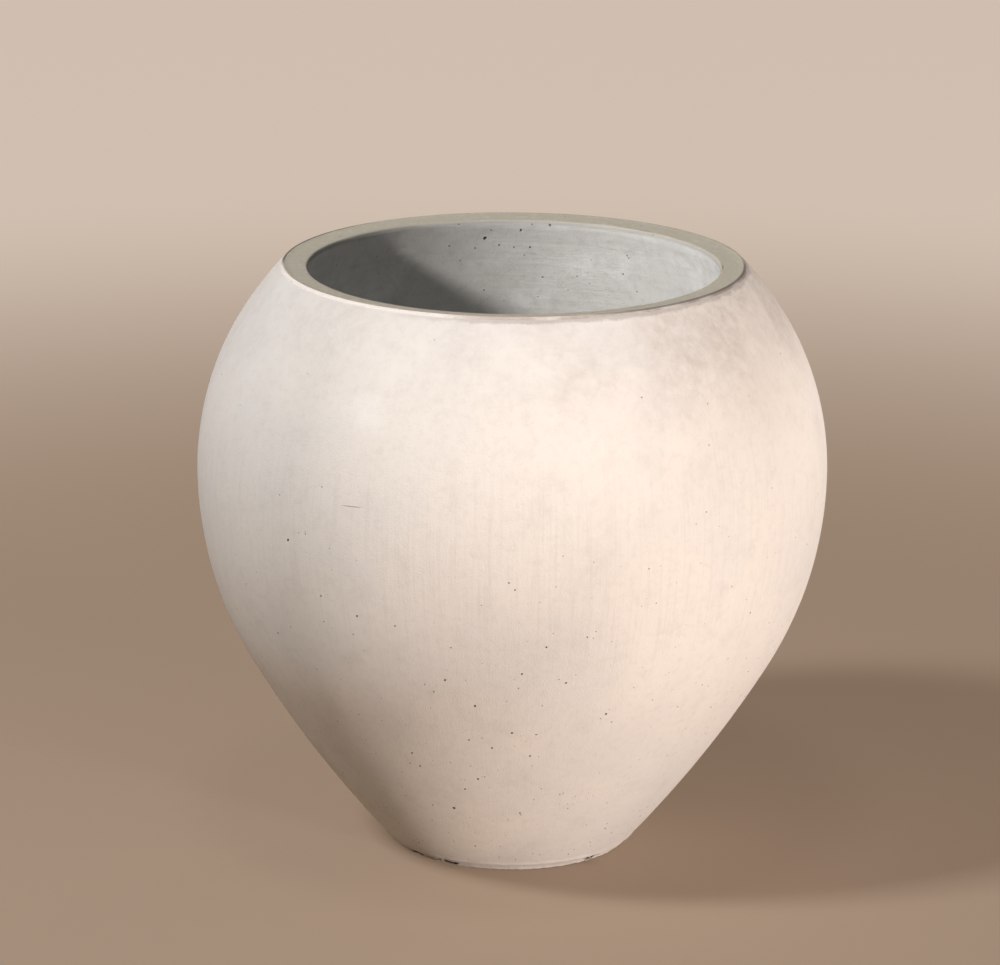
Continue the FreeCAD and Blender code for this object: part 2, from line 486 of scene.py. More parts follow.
@dataclass
class MarkCutter:
    """Cuts air holes, chips and scratches out of a coat, all in one pass.

    The masters are modelled once, in a box of one unit with +Z along the coat's normal, and copied.
    """

    coat: bpy.types.Object
    seed: int
    spacing: float = 0.6
    bodies: list[bpy.types.Object] = field(default_factory=list)
    taken: list[tuple[Vector, float]] = field(default_factory=list)

    def __post_init__(self) -> None:
        """Models the masters."""
        self.random = random.Random(self.seed)
        self.masters = {kind: self.master(kind) for kind in MarkKind}

    def master(self, kind: MarkKind) -> bpy.types.Object:
        """Models the body of one kind of mark.

        Args:
            kind: The kind of mark.

        Returns:
            The master, which is out of the scene.
        """
        Bench.clear()
        if kind is MarkKind.HOLE:
            bpy.ops.mesh.primitive_uv_sphere_add(segments=8, ring_count=6, radius=0.5)
        else:
            bpy.ops.mesh.primitive_ico_sphere_add(subdivisions=3, radius=0.5)
        body = bpy.context.object
        bpy.ops.object.mode_set(mode="EDIT")
        bpy.ops.mesh.select_all(action="SELECT")
        bpy.ops.transform.vertex_random(offset=kind.value.lumps, uniform=0.4, normal=0.6, seed=self.seed)
        bpy.ops.transform.resize(value=kind.value.shape)
        bpy.ops.object.mode_set(mode="OBJECT")
        for material in self.coat.data.materials:
            body.data.materials.append(material)
        for polygon in body.data.polygons:
            polygon.material_index = kind.value.slot
        body.users_collection[0].objects.unlink(body)
        return body

    def add(self, kind: MarkKind, place: Vector, normal: Vector, width: float, turn: float,
            sink: float) -> None:
        """Sets one mark on the coat, unless another is in its way.

        Args:
            kind: The kind of mark.
            place: A point of the coat's surface.
            normal: The surface's outward normal there.
            width: Width of the mark.
            turn: Turn of the mark about the normal.
            sink: How deep its middle lies, in units of its width.
        """
        if any((place - other).length < self.spacing * (width + room) for other, room in self.taken):
            return
        self.taken.append((place, width))
        body = self.masters[kind].copy()
        body.data = body.data.copy()
        across = Vector((0, 0, 1)).cross(normal).normalized()
        upright = normal.cross(across)
        upright_frame = Matrix((across, upright, normal)).transposed().to_4x4()
        turned = upright_frame @ Matrix.Rotation(math.radians(turn), 4, "Z")
        middle = Matrix.Translation(place - normal * sink * width)
        body.matrix_world = middle @ turned @ Matrix.Scale(width, 4)
        self.bodies.append(body)

    def seen(self, camera: PhotoCamera, marks: Sequence[PhotoMark]) -> None:
        """Sets the marks that the photo shows, where its rays meet the coat."""
        for mark in marks:
            hit, place, normal, _ = self.coat.ray_cast(Vector(camera.place), camera.ray(mark.x, mark.y))
            if hit:
                self.add(mark.kind, place, normal, mark.width, mark.turn, mark.kind.value.sink)

    def scatter(self, holes: HoleScatter, reach: float) -> None:
        """Scatters air holes over the coat.

        Args:
            holes: How the holes vary.
            reach: How far from the axis the search for the outside starts, or 0 to search the inside.
        """
        for _ in range(holes.count):
            level = holes.low + (holes.high - holes.low) * self.random.random() ** holes.crowding
            angle = self.random.uniform(0, math.tau)
            width = holes.least + holes.spread * self.random.random() ** holes.skew
            turn = self.random.uniform(0, 360)
            axis, out = Vector((0, 0, level)), Vector((math.cos(angle), math.sin(angle), 0))
            start, goal = (axis + out * reach, axis) if reach else (axis, axis + out)
            hit, place, normal, _ = self.coat.ray_cast(start, (goal - start).normalized())
            if hit:
                self.add(MarkKind.HOLE, place, normal, width, turn, holes.sink)

    def carve(self) -> None:
        """Joins the bodies and takes them out of the coat."""
        Bench.clear()
        for body in self.bodies:
            bpy.context.scene.collection.objects.link(body)
            body.select_set(True)
        bpy.context.view_layer.objects.active = self.bodies[0]
        bpy.ops.object.join()
        cutter = bpy.context.object
        bpy.ops.object.transform_apply(location=True, rotation=True, scale=True)
        Bench.modify(self.coat, "BOOLEAN", operation="DIFFERENCE", solver="MANIFOLD",
                     material_mode="INDEX", object=cutter)
        bpy.data.objects.remove(cutter)
        for master in self.masters.values():
            bpy.data.objects.remove(master)


class Shade:
    """A value that changes over a surface. Arithmetic on it adds Math nodes."""

    def __init__(self, tree: "ShadeTree", socket: bpy.types.NodeSocket) -> None:
        """Keeps the socket and the tree that it belongs to."""
        self.tree = tree
        self.socket = socket

    def math(self, operation: str, first: Any, second: Any) -> "Shade":
        """Adds one Math node on two values."""
        return self.tree.node("ShaderNodeMath", {"operation": operation}, {0: first, 1: second})

    def __add__(self, other: Any) -> "Shade":
        """Sum of two values."""
        return self.math("ADD", self, other)

    def __sub__(self, other: Any) -> "Shade":
        """Difference of two values."""
        return self.math("SUBTRACT", self, other)

    def __mul__(self, other: Any) -> "Shade":
        """Product of two values."""
        return self.math("MULTIPLY", self, other)

    def __gt__(self, other: Any) -> "Shade":
        """1 where this value is the greater, and 0 elsewhere."""
        return self.math("GREATER_THAN", self, other)


class ShadeTree:
    """A material under construction."""

    spot_core_share = 0.55

    def __init__(self, name: str) -> None:
        """Starts an empty material."""
        self.material = bpy.data.materials.new(name)
        self.material.use_nodes = True
        self.tree = self.material.node_tree
        self.tree.nodes.clear()
        self.place = self.node("ShaderNodeTexCoord", output="Object")
        parts = self.node("ShaderNodeSeparateXYZ", inputs={0: self.place}).socket.node.outputs
        self.x, self.y, self.level = (Shade(self, socket) for socket in parts)

    def node(self, kind: str, settings: Mapping[str, Any] | None = None,
             inputs: Mapping[str | int, Any] | None = None, output: str | int = 0) -> Shade:
        """Adds a node.

        Args:
            kind: The node's type.
            settings: Properties of the node, which are set first.
            inputs: Values or links by the input's name, identifier or number.
            output: Name, identifier or number of the output that is used.

        Returns:
            That output.
        """
        node = self.tree.nodes.new(kind)
        for key, value in (settings or {}).items():
            setattr(node, key, value)
        for key, value in (inputs or {}).items():
            socket = self.socket(node.inputs, key)
            if isinstance(value, Shade):
                self.tree.links.new(value.socket, socket)
            else:
                socket.default_value = value
        return Shade(self, self.socket(node.outputs, output) if node.outputs else None)

    @staticmethod
    def socket(sockets: Any, key: str | int) -> bpy.types.NodeSocket:
        """Finds a socket by its number, identifier or name."""
        if isinstance(key, int):
            return sockets[key]
        return next((socket for socket in sockets if socket.identifier == key), None) or sockets[key]

    def noise(self, size: float, detail: float = 4.0, rough: float = 0.55, at: Shade | None = None) -> Shade:
        """Cloudy pattern from 0 to 1.

        Args:
            size: Size of its lumps, in metres or in the units of the place.
            detail: How many finer layers it has.
            rough: How strong the finer layers are.
            at: The place to read, or nothing for the place on the object.

        Returns:
            The pattern.
        """
        inputs = {"Vector": at or self.place, "Scale": 1 / size, "Detail": detail, "Roughness": rough}
        return self.node("ShaderNodeTexNoise", {"noise_dimensions": "3D"}, inputs)

    def brushed(self, around: float, along: float) -> Shade:
        """Pattern drawn out along the pot or around it, with no seam.

        Args:
            around: Width of a stroke around the pot, in radians.
            along: Length of a stroke up the wall, in metres.

        Returns:
            The pattern, from 0 to 1.
        """
        flat = self.node("ShaderNodeCombineXYZ", inputs={0: self.x, 1: self.y})
        way = self.node("ShaderNodeVectorMath", {"operation": "NORMALIZE"}, {0: flat})
        lift = self.node("ShaderNodeCombineXYZ", inputs={2: self.level * (1 / along)})
        place = self.node("ShaderNodeVectorMath", {"operation": "MULTIPLY_ADD"},
                          {0: way, 1: (1 / around,) * 3, 2: lift})
        return self.noise(1.0, rough=0.6, at=place)

    def radius(self) -> Shade:
        """Distance from the pot's axis."""
        flat = self.node("ShaderNodeCombineXYZ", inputs={0: self.x, 1: self.y})
        return self.node("ShaderNodeVectorMath", {"operation": "LENGTH"}, {0: flat}, "Value")

    def distance(self, point: tuple[float, float, float]) -> Shade:
        """Distance from a point."""
        ends = {0: self.place, 1: point}
        return self.node("ShaderNodeVectorMath", {"operation": "DISTANCE"}, ends, "Value")

    def step(self, value: Shade, low: Any, high: Any) -> Shade:
        """Eases from 0 at low to 1 at high, either way round."""
        return self.node("ShaderNodeMapRange", {"interpolation_type": "SMOOTHSTEP"},
                         {"Value": value, "From Min": low, "From Max": high})

    def band(self, value: Shade, edge: float, span: Span) -> Shade:
        """Eases from 0 to 1 over a span beside an edge."""
        return self.step(value, edge + span[0], edge + span[1])

    def blend(self, first: Any, second: Any, share: Any) -> Shade:
        """Mixes two colours.

        Args:
            first: Colour at a share of 0.
            second: Colour at a share of 1.
            share: How much of the second there is.

        Returns:
            The mixed colour.
        """
        return self.node("ShaderNodeMix", {"data_type": "RGBA", "blend_type": "MIX"},
                         {"Factor_Float": share, "A_Color": first, "B_Color": second}, "Result_Color")

    def pinholes(self, cell: float, least: float, most: float, share: Any) -> Shade:
        """Round spots of many sizes, scattered over the surface.

        Args:
            cell: About how far apart the spots are.
            least: Radius of the smallest spot, in cells.
            most: Radius of the largest spot, in cells.
            share: Share of the spots that is left out.

        Returns:
            1 in a spot and 0 outside.
        """
        pattern = {"Vector": self.place, "Scale": 1 / cell}
        cells = self.node("ShaderNodeTexVoronoi", {"feature": "F1"}, pattern)
        drawn = self.node("ShaderNodeSeparateColor", inputs={0: self.output(cells, "Color")})
        radius = drawn * (most - least) + least
        spot = self.step(cells, radius, radius * self.spot_core_share)
        return spot * (self.output(drawn, "Green") > share)

    def output(self, shade: Shade, name: str) -> Shade:
        """Another output of the node that a value comes from."""
        return Shade(self, shade.socket.node.outputs[name])

    def surface(self, colour: Any, rough: Any, height: Shade, relief: float,
                **constants: Any) -> bpy.types.Material:
        """Finishes the material.

        Args:
            colour: Base colour.
            rough: Roughness.
            height: Relief pattern from 0 to 1.
            relief: Height of the relief, in metres.
            constants: Values of other inputs, which are the same all over, by name with _ for a space.

        Returns:
            The material.
        """
        bump = self.node("ShaderNodeBump", inputs={"Height": height, "Distance": relief})
        inputs = {"Base Color": colour, "Roughness": rough, "Normal": bump}
        inputs.update({key.replace("_", " "): value for key, value in constants.items()})
        shader = self.node("ShaderNodeBsdfPrincipled", inputs=inputs)
        self.node("ShaderNodeOutputMaterial", inputs={"Surface": shader})
        return self.material


@dataclass(frozen=True)
class FaceFinish:
    """Pale cast face: cloudy cream, faint upright streaks, a lighter patch, pinholes below painted dark as
    shade, grey-brown mottling at the shoulder, and a ragged band under the lip of bared grey coat and painted
    shade.
    """

    cream: Colour = tone(233, 224, 214)
    cool: Colour = tone(223, 217, 211)
    shade: Colour = tone(203, 193, 183)
    shoulder_mottle: Colour = tone(180, 163, 150)
    # Ragged band under the lip: bared grey coat, with painted shade under the lip.
    edge: Colour = tone(150, 141, 134)
    pinhole_shade: Colour = tone(120, 108, 97)
    pale_patch: Colour = tone(247, 241, 234)
    bright_spot: tuple[float, float, float] = (-0.0892, -0.1623, 0.3224)
    bright_reach: float = 0.018
    streaks_from: Span = (0.14, 0.2)
    streaks_to: Span = (0.33, 0.26)
    shoulder_mottle_levels: Span = (0.285, 0.372)
    shoulder_mottle_sides: Span = (-0.02, 0.12)
    edge_levels: Span = (0.3755, 0.3772)
    edge_sides: Span = (-0.09, 0.0)
    hole_levels: Span = (0.02, 0.3)
    relief: float = 0.0006

    def build(self) -> bpy.types.Material:
        """Makes the material."""
        t = ShadeTree("face_concrete")
        clouds = t.noise(0.11, 5)
        blotches = t.noise(0.026, 6, 0.62)
        grain = t.noise(0.0011, 2)
        streaks = t.brushed(0.022, 0.09)
        colour = t.blend(self.cream, self.cool, t.step(clouds, 0.4, 0.68) * 0.8)
        colour = t.blend(colour, self.shade, t.step(blotches, 0.5, 0.78) * 0.3)
        belly = t.step(t.level, *self.streaks_from) * t.step(t.level, *self.streaks_to)
        colour = t.blend(colour, self.shade, t.step(streaks, 0.52, 0.75) * belly * 0.16)
        colour = t.blend(colour, self.shade, t.step(t.brushed(0.007, 0.06), 0.48, 0.72) * belly * 0.2)
        colour = t.blend(colour, self.shade, t.step(t.noise(0.0055, 6, 0.7), 0.45, 0.72) * 0.24)
        # A lighter patch round a point on the face's left.
        spot = t.distance(self.bright_spot) + (t.noise(0.012, 5, 0.65) - 0.5) * 0.03
        colour = t.blend(colour, self.pale_patch, t.step(spot, self.bright_reach, 0.0) * 0.42)
        # Darker grey-brown mottling over the shoulder, stronger towards the right.
        patch = t.step(t.noise(0.05, 3), 0.25, 0.65)
        patch = patch * (t.step(t.noise(0.009, 7, 0.72), 0.3, 0.68) * 0.75 + 0.3)
        height = t.step(t.level, *self.shoulder_mottle_levels)
        side = t.step(t.x, *self.shoulder_mottle_sides) * 0.55 + 0.45
        colour = t.blend(colour, self.shoulder_mottle, patch * height * side * 0.55)
        # Ragged band just under the lip, on the left: bared grey coat, darkened with painted shade under the
        # lip.
        ragged = t.level + (t.noise(0.014, 6, 0.7) - 0.5) * 0.006
        bared_coat_and_lip_shade = t.step(ragged, *self.edge_levels) * t.step(t.x, *self.edge_sides)
        colour = t.blend(colour, self.edge, bared_coat_and_lip_shade * 0.5)
        # Painted shade: tiny air holes drawn as dark spots, which the bump also dents.
        holes = t.pinholes(0.0052, 0.05, 0.13, t.step(t.level, *self.hole_levels) * 0.7 + 0.25)
        colour = t.blend(colour, self.pinhole_shade, holes * 0.8)
        colour = t.blend(colour, BLACK, t.step(grain, 0.55, 0.8) * 0.05)
        relief = blotches * 0.35 + grain * 0.25 + streaks * 0.12 - holes * 0.6
        return t.surface(colour, blotches * 0.2 + 0.6, relief, self.relief)


@dataclass(frozen=True)
class GreyFinish:
    """Trowelled grey concrete, with a darker struck rim where there is one, darkened further by painted shade
    of the up-facing top, painted shade on the mouth's soft edge and a painted shadow line along the rim's
    outer arris.
    """

    name: str
    body: Colour = tone(198, 196, 192)
    pale: Colour = tone(213, 212, 209)
    dark: Colour = tone(178, 175, 169)
    # Rim top: its struck surface, darkened further by painted shade as it faces up.
    rim: Colour = tone(158, 150, 134)
    # Painted shade on the mouth's soft edge.
    mouth_edge_shade: Colour = tone(150, 147, 141)
    lip: Colour = tone(178, 170, 163)
    smear: Colour = tone(146, 134, 125)
    # Painted shadow line along the rim's outer arris.
    line: Colour = tone(92, 84, 76)
    pinhole_shade: Colour = tone(104, 100, 95)
    rim_level: float = 0.38
    rim_radius: float = 1.0
    struck_and_shaded_rim_band: Span = (-0.0030, -0.0019)
    mouth_edge_shade_band: Span = (-0.0058, -0.0036)
    lip_band: Span = (-0.0007, -0.0002)
    smear_sides: Span = (-0.07, 0.0)
    arris_shadow_band: Span = (-0.0014, -0.0008)
    arris_shadow_levels: Span = (-0.0011, -0.0005)
    arris_shadow_back: tuple[Span, Span] = ((-0.085, -0.11), (-0.02, 0.01))
    arris_shadow_front: tuple[Span, Span] = ((0.03, 0.08), (0.02, -0.01))
    relief: float = 0.0007

    def build(self) -> bpy.types.Material:
        """Makes the material."""
        t = ShadeTree(self.name)
        clouds = t.noise(0.045, 6, 0.62)
        blotches = t.noise(0.008, 6, 0.68)
        grain = t.noise(0.0012, 2)
        strokes = t.brushed(0.5, 0.0035)
        colour = t.blend(self.body, self.pale, t.step(clouds, 0.46, 0.66) * 0.8)
        colour = t.blend(colour, self.dark, t.step(strokes, 0.5, 0.75) * 0.3)
        colour = t.blend(colour, self.dark, t.step(blotches, 0.45, 0.7) * 0.5)
        top = t.band(t.level, self.rim_level, self.struck_and_shaded_rim_band)
        # Painted shade over the mouth's soft edge, below the rim top.
        colour = t.blend(colour, self.mouth_edge_shade, t.band(t.level, self.rim_level, self.mouth_edge_shade_band))
        # Darker rim top: the struck surface, and painted shade of the up-facing top.
        struck = t.blend(self.rim, self.dark, t.step(t.noise(0.004, 4), 0.5, 0.75) * 0.5)
        colour = t.blend(colour, struck, top)
        crumbs = t.radius() + (t.noise(0.009, 5, 0.7) - 0.5) * 0.0012
        smeared = t.step(t.x, *self.smear_sides) * t.step(t.noise(0.02, 4), 0.35, 0.6)
        lip = t.blend(self.lip, self.smear, smeared)
        colour = t.blend(colour, lip, t.band(crumbs, self.rim_radius, self.lip_band) * top)
        # Painted shadow line along the rim's outer arris, at the back left and the front right.
        back_left, front_right = (t.step(t.x, *across) * t.step(t.y, *along)
                                  for across, along in (self.arris_shadow_back, self.arris_shadow_front))
        arris_shadow = t.band(crumbs, self.rim_radius, self.arris_shadow_band)
        arris_shadow = arris_shadow * t.band(t.level, self.rim_level, self.arris_shadow_levels)
        colour = t.blend(colour, self.line, arris_shadow * (back_left + front_right * 0.8))
        # Painted shade: tiny air holes drawn as dark spots, which the bump also dents.
        holes = t.pinholes(0.007, 0.05, 0.12, 0.5)
        colour = t.blend(colour, self.pinhole_shade, holes * 0.85)
        colour = t.blend(colour, BLACK, t.step(grain, 0.5, 0.75) * 0.1)
        relief = strokes * 0.4 + blotches * 0.3 + grain * 0.25 - holes * 0.6
        return t.surface(colour, blotches * 0.15 + 0.7, relief, self.relief)


@dataclass(frozen=True)
class BrokenFinish:
    """Bare inside of a hole, a chip or a scratch: gritty, with painted shade in its hollows."""

    name: str
    grit: Colour
    hollow_shade: Colour
    relief: float = 0.0004

    def build(self) -> bpy.types.Material:
        """Makes the material."""
        t = ShadeTree(self.name)
        lumps = t.noise(0.0016, 4, 0.65)
        colour = t.blend(self.hollow_shade, self.grit, t.step(lumps, 0.38, 0.68))
        return t.surface(colour, 0.9, lumps, self.relief)


@dataclass(frozen=True)
class PipeFinish:
    """Extruded grey plastic with a smear of cement."""

    plastic: Colour = tone(104, 106, 109)
    cement: Colour = tone(158, 154, 147)
    relief: float = 0.0002

    def build(self) -> bpy.types.Material:
        """Makes the material."""
        t = ShadeTree("sleeve_plastic")
        smear = t.step(t.noise(0.007, 5, 0.65), 0.52, 0.66)
        lines = t.brushed(0.02, 0.05)
        colour = t.blend(self.plastic, self.cement, smear * 0.8)
        return t.surface(colour, smear * 0.35 + 0.45, lines * 0.3 + smear * 0.6, self.relief)


@dataclass(frozen=True)
class WireFinish:
    """Galvanised wire with dull spangle."""

    zinc: Colour = tone(168, 172, 176)
    dull: Colour = tone(122, 125, 129)
    relief: float = 0.0001

    def build(self) -> bpy.types.Material:
        """Makes the material."""
        t = ShadeTree("cage_wire")
        spangle = t.noise(0.003, 3)
        colour = t.blend(self.zinc, self.dull, t.step(spangle, 0.4, 0.65))
        return t.surface(colour, spangle * 0.25 + 0.35, spangle, self.relief, Metallic=1.0)


@dataclass(frozen=True)
class GroundFinish:
    """Plain studio floor, warm and matt round the pot, and paler and more even behind it."""

    ground: Colour = tone(186, 156, 132)
    background: Colour = tone(222, 204, 188)
    fibre: Colour = tone(158, 140, 122)
    ground_reach: float = 0.5
    background_reach: float = 2.0
    ground_evenness: float = 0.35
    background_evenness: float = 0.85

    def build(self) -> bpy.types.Material:
        """Makes the material."""
        t = ShadeTree("studio_floor")
        far = t.step(t.radius(), self.ground_reach, self.background_reach)
        matt = t.node("ShaderNodeBsdfDiffuse", inputs={"Color": self.fibre})
        near_glow = t.node("ShaderNodeEmission", inputs={"Color": self.ground, "Strength": 1.0})
        far_glow = t.node("ShaderNodeEmission", inputs={"Color": self.background, "Strength": 1.0})
        glow = t.node("ShaderNodeMixShader", inputs={0: far, 1: near_glow, 2: far_glow})
        seen = t.node("ShaderNodeLightPath", output="Is Camera Ray")
        seen = seen + t.output(seen, "Is Glossy Ray") + t.output(seen, "Is Transmission Ray")
        evenness = far * (self.background_evenness - self.ground_evenness) + self.ground_evenness
        mixed = t.node("ShaderNodeMixShader", inputs={0: seen * evenness, 1: matt, 2: glow})
        t.node("ShaderNodeOutputMaterial", inputs={"Surface": mixed})
        return t.material


@dataclass
class FaceCoat:
    """Pale outer skin, from the foot's chipped edge to the rim's lip."""

    wall: Wall
    camera: PhotoCamera
    steps: int = 384
    seed: int = 11
    foot_points: int = 5
    foot_step: float = 0.0008
    face_step: float = 0.0034
    top_step: float = 0.0009
    edge_zone: float = 0.009
    calm_zone: Span = (0.002, 0.02)
    ridge_level: float = 0.0055
    ridge_half: float = 0.0022
    foot_zone: Span = (0.006, 0.0018)
    face_lumps: Lumps = Lumps(0.0005, 0.07)
    ridge_lumps: Lumps = Lumps(-0.0007, 0.012)
    foot_lumps: Lumps = Lumps(0.0006, 0.005, hard=True)
    hole_count: int = 430
    hole_low: float = 0.012
    marks: tuple[PhotoMark, ...] = (
        PhotoMark(288, 540, 0.0018),
        PhotoMark(321, 596, 0.0014),
        PhotoMark(357, 616, 0.0015),
        PhotoMark(278, 633, 0.0014),
        PhotoMark(395, 626, 0.0013),
        PhotoMark(509, 583, 0.0012),
        PhotoMark(515, 590, 0.0012),
        PhotoMark(445, 680, 0.0017),
        PhotoMark(522, 674, 0.0015),
        PhotoMark(566, 683, 0.0015),
        PhotoMark(475, 706, 0.0018),
        PhotoMark(606, 714, 0.0016),
        PhotoMark(512, 733, 0.0017),
        PhotoMark(469, 740, 0.0014),
        PhotoMark(492, 748, 0.0015),
        PhotoMark(412, 753, 0.0017),
        PhotoMark(420, 766, 0.0016),
        PhotoMark(530, 756, 0.0015),
        PhotoMark(478, 779, 0.0017),
        PhotoMark(465, 789, 0.0015),
        PhotoMark(454, 808, 0.0024),
        PhotoMark(520, 813, 0.0015),
        PhotoMark(351, 507, 0.0150, 3.0, MarkKind.SCRATCH),
        PhotoMark(418, 853, 0.0120, kind=MarkKind.CHIP),
        PhotoMark(447, 862, 0.0150, kind=MarkKind.CHIP),
        PhotoMark(590, 857, 0.0110, kind=MarkKind.CHIP),
        PhotoMark(522, 870, 0.0070, kind=MarkKind.CHIP),
    )

    def section(self) -> Section:
        """Section of the skin, close-spaced at its two edges."""
        outline, wall = self.wall.outline, self.wall
        foot = outline.corner(0, wall.foot_round, -1, self.foot_points)
        start, top = foot[0][1], wall.lip_level
        face = levels(start, self.edge_zone, self.foot_step)[1:]
        face += levels(self.edge_zone, top - self.edge_zone, self.face_step)[1:]
        face += levels(top - self.edge_zone, top, self.top_step)[1:]
        back = levels(top, 0.0, HIDDEN_STEP)
        return foot[::-1] + outline.line(0, face) + outline.line(wall.face, back)

    def build(self) -> bpy.types.Object:
        """Models the skin, breaks its edges and cuts its holes.

        Returns:
            The finished skin.
        """
        coat = Bench.spun("face_coat_dressed", self.section(), self.steps)
        outline, wall = self.wall.outline, self.wall

        def outside(place: Vector) -> bool:
            """Whether a point lies on the visible face."""
            level = min(max(place.z, 0.0), wall.lip_level)
            return place.xy.length > outline.radius(wall.face / 2, level)

        def face_weight(place: Vector) -> float:
            """Full on the face, and fading out near the lip."""
            near, clear = (wall.lip_level - depth for depth in self.calm_zone)
            return outside(place) * ramp(place.z, near, clear)

        def ridge_weight(place: Vector) -> float:
            """Full along the ridge above the foot."""
            return outside(place) * (1 - ramp(abs(place.z - self.ridge_level), 0.0, self.ridge_half))

        def foot_weight(place: Vector) -> float:
            """Full at the foot's edge."""
            return outside(place) * ramp(place.z, *self.foot_zone)

        face = Bench.weigh(coat, "face", face_weight)
        ridge = Bench.weigh(coat, "ridge", ridge_weight)
        foot = Bench.weigh(coat, "foot", foot_weight)
        Bench.roughen(coat, self.face_lumps, face)
        Bench.roughen(coat, self.ridge_lumps, ridge)
        Bench.roughen(coat, self.foot_lumps, foot)
        for finish in (FaceFinish(),
                       # Air holes and the scratch are coloured darker than the face: painted shade inside
                       # them.
                       BrokenFinish("air_hole", tone(172, 159, 147), tone(106, 96, 87)),
                       BrokenFinish("broken_edge", tone(188, 177, 164), tone(112, 103, 94)),
                       BrokenFinish("scratch", tone(214, 207, 196), tone(202, 195, 183))):
            coat.data.materials.append(finish.build())
        self.cut_marks(coat)
        Bench.smooth(coat, CONCRETE_CREASE)
        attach(coat, BODY)
        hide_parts("face_coat")
        return coat

    def cut_marks(self, coat: bpy.types.Object) -> None:
        """Cuts the marks that the photo shows, then scatters more holes, closer together towards the foot."""
        cutter = MarkCutter(coat, self.seed)
        cutter.seen(self.camera, self.marks)
        outline = self.wall.outline
        cutter.scatter(HoleScatter(self.hole_count, self.hole_low, outline.belly_level, crowding=1.6,
                                   least=0.0006, spread=0.0009, skew=3.0), 2 * outline.belly_radius)
        cutter.carve()


@dataclass
class InnerCoat:
    """Grey trowelled inside, which turns over the top as the flat rim."""

    wall: Wall
    camera: PhotoCamera
    steps: int = 320
    seed: int = 23
    lip_points: int = 4
    inside_step: float = 0.004
    rim_step: float = 0.0014
    rim_fall: float = 0.0014
    fall_zone: Span = (0.02, 0.004)
    joint_margin: float = 0.0002
    lip_fade: float = 0.0025
    face_lumps: Lumps = Lumps(0.0005, 0.03)
    hole_count: int = 12
    hole_low: float = 0.05
    hole_top_margin: float = 0.012
    marks: tuple[PhotoMark, ...] = (
        PhotoMark(485, 238, 0.0029),
        PhotoMark(521, 230, 0.0018),
        PhotoMark(550, 225, 0.0018),
        PhotoMark(499, 245, 0.0013),
        PhotoMark(530, 247, 0.0015),
        PhotoMark(475, 248, 0.0013),
        PhotoMark(514, 247, 0.0011),
        PhotoMark(623, 274, 0.0013),
        PhotoMark(484, 290, 0.0013),
    )

    def section(self) -> Section:
        """Section of the coat: lip, rim, inside and hidden back."""
        outline, wall = self.wall.outline, self.wall
        lip = outline.corner(outline.height, wall.lip_round, 1, self.lip_points)
        inside = wall.throat(self.inside_step)
        outer, inner = lip[-1][0], inside[0][0]
        rim = [(radius, outline.height) for radius in levels(outer, inner, self.rim_step)[1:-1]]

        def struck(radius: float, level: float) -> tuple[float, float]:
            """Lowers a point of the rim towards the mouth, as the float leaves it."""
            share = min(max((outer - radius) / (outer - inner), 0.0), 1.0)
            low, high = (outline.height - depth for depth in self.fall_zone)
            return radius, level - self.rim_fall * share * ramp(level, low, high)

        inside = [struck(*point) for point in inside]
        rim = [struck(*point) for point in rim]
        back = outline.line(wall.inner_joint, levels(0.0, wall.lip_level, HIDDEN_STEP))
        under = [(outline.radius(0, wall.lip_level), wall.lip_level)]
        return under + lip + rim + inside + back

    def build(self) -> bpy.types.Object:
        """Models the coat, leaves it as uneven as a trowel does, and cuts its holes.

        Returns:
            The finished coat.
        """
        coat = Bench.spun("inner_coat_dressed", self.section(), self.steps)
        outline, wall = self.wall.outline, self.wall

        def shown(place: Vector) -> bool:
            """Whether a point lies on the rim or the inside."""
            level = min(max(place.z, 0.0), wall.lip_level)
            middle = outline.radius((wall.inner_joint + wall.inside) / 2, level)
            return place.z > wall.lip_level + self.joint_margin or place.xy.length < middle

        def face_weight(place: Vector) -> float:
            """Full on what shows, and fading out towards the lip."""
            rise = ramp(place.z, wall.lip_level, outline.height)
            calm = ramp(place.xy.length, wall.calm_radius, wall.calm_radius + self.lip_fade)
            return shown(place) * (1 - rise * calm)

        Bench.roughen(coat, self.face_lumps, Bench.weigh(coat, "face", face_weight))
        for finish in (GreyFinish("inner_concrete", rim_radius=outline.radius(0, outline.height)),
                       # The air holes are coloured darker than the inside: painted shade inside them.
                       BrokenFinish("inner_air_hole", tone(146, 142, 136), tone(84, 81, 77))):
            coat.data.materials.append(finish.build())
        cutter = MarkCutter(coat, self.seed)
        cutter.seen(self.camera, self.marks)
        cutter.scatter(HoleScatter(self.hole_count, self.hole_low, outline.height - self.hole_top_margin,
                                   crowding=1.0, least=0.0007, spread=0.0006, skew=2.5), 0.0)
        cutter.carve()
        Bench.smooth(coat, CONCRETE_CREASE)
        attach(coat, BODY)
        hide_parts("inner_coat")
        return coat


